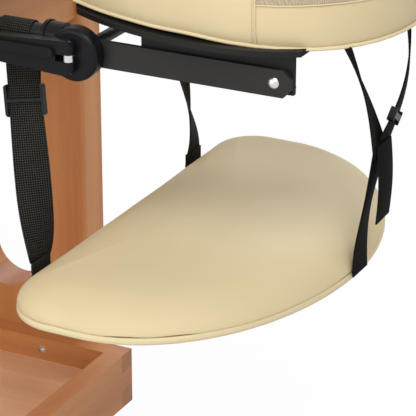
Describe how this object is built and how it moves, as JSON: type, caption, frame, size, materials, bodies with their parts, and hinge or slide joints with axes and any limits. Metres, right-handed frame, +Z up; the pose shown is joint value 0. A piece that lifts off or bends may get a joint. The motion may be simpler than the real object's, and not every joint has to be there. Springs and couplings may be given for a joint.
{
  "type": "treatment table",
  "caption": "Wooden treatment table with slotted legs, a storage tray and a sliding, lifting face cradle that carries a strap-hung arm shelf.",
  "frame": {"origin": "on the floor, in the middle of the whole outline", "axes": "+X along the table toward the head end with the face cradle, +Z up, -Y toward the lever side"},
  "size_m": [2.334, 0.7, 0.8315],
  "materials": {
    "beech": "satin lacquered beech",
    "plywood": "lacquered plywood",
    "cream_vinyl": "soft matt vinyl",
    "black_webbing": "woven webbing",
    "hook_tape": "hook tape",
    "black_plastic": "moulded",
    "glide_plastic": "moulded",
    "black_metal": "powder coat",
    "arm_metal": "satin grey",
    "zinc_steel": "zinc plated",
    "dark_steel": "black oxide"
  },
  "bodies": {
    "table": {"leg_panel_head_near": "beech", "leg_panel_head_far": "beech", "leg_panel_foot_near": "beech", "leg_panel_foot_far": "beech", "leg_glides": "glide_plastic", "side_rail_near": "beech", "side_rail_far": "beech", "end_apron_head": "beech", "end_apron_foot": "beech", "pole_guide_rail": "beech", "deck_bearers": "beech", "apron_bolts": "dark_steel", "pole_bushes": "black_plastic", "deck_board": "plywood", "top_cushion": "cream_vinyl", "tray_wall_near": "beech", "tray_wall_far": "beech", "tray_wall_head": "beech", "tray_wall_foot": "beech", "tray_bottom": "plywood", "tray_screws": "dark_steel"},
    "cradle_poles": {"cradle_pole_near": "black_metal", "cradle_pole_far": "black_metal", "hinge_hub_near": "black_plastic", "hinge_hub_far": "black_plastic", "hub_link_pins": "zinc_steel", "clamp_rod": "zinc_steel", "clamp_nut": "zinc_steel", "rear_strap_near": "black_webbing", "rear_strap_far": "black_webbing", "strap_buckle_near": "black_plastic", "strap_buckle_far": "black_plastic"},
    "arms": {"arm_bar_near": "arm_metal", "arm_bar_far": "arm_metal", "arm_rivets": "zinc_steel", "cross_tube": "zinc_steel"},
    "links": {"level_link_near": "black_metal", "level_link_far": "black_metal"},
    "platform": {"platform_bracket_near": "black_metal", "platform_bracket_far": "black_metal", "bracket_link_pins": "zinc_steel", "bracket_screws": "zinc_steel", "platform_plate": "black_metal", "hook_layer": "hook_tape", "face_cushion": "cream_vinyl"},
    "front_strap": {"front_strap": "black_webbing", "strap_tail": "black_webbing", "strap_slider": "black_plastic"},
    "lever": {"cam_lever": "black_plastic", "lever_pin": "zinc_steel"},
    "shelf": {"shelf_board": "plywood", "shelf_pad": "cream_vinyl", "shelf_tabs": "black_webbing", "tab_screws": "zinc_steel"}
  },
  "joints": [
    {"name": "cradle_slide", "type": "slide", "parent": "table", "child": "cradle_poles", "axis": [1, 0, 0], "range_m": [-0.09, 0.06]},
    {"name": "cradle_lift", "type": "hinge", "parent": "cradle_poles", "child": "arms", "pos_m": [0.839, 0, 0.712], "axis": [0, -1, 0], "range_deg": [0, 25]},
    {"name": "platform_level", "type": "hinge", "parent": "arms", "child": "platform", "pos_m": [1.068, 0, 0.712], "axis": [0, -1, 0], "range_deg": [-25, 0]},
    {"name": "parallel_link", "type": "hinge", "parent": "cradle_poles", "child": "links", "pos_m": [0.852, 0, 0.704], "axis": [0, -1, 0], "range_deg": [0, 25]},
    {"name": "shelf_tilt", "type": "hinge", "parent": "cradle_poles", "child": "shelf", "pos_m": [0.805, 0, 0.477], "axis": [0, -1, 0], "range_deg": [0, 18.9]},
    {"name": "front_strap_swing", "type": "hinge", "parent": "platform", "child": "front_strap", "pos_m": [1.12, 0, 0.7482], "axis": [0, -1, 0], "range_deg": [0, 2.75]},
    {"name": "lever_open", "type": "hinge", "parent": "cradle_poles", "child": "lever", "pos_m": [0.839, -0.17, 0.712], "axis": [0, 0, 1], "range_deg": [0, 95]}
  ],
  "couplings": [
    {"joint": "platform_level", "follows": "cradle_lift", "ratio": -1},
    {"joint": "parallel_link", "follows": "cradle_lift", "ratio": 1},
    {"joint": "shelf_tilt", "follows": "cradle_lift", "ratio": 0.756},
    {"joint": "front_strap_swing", "follows": "cradle_lift", "ratio": 0.11}
  ]
}
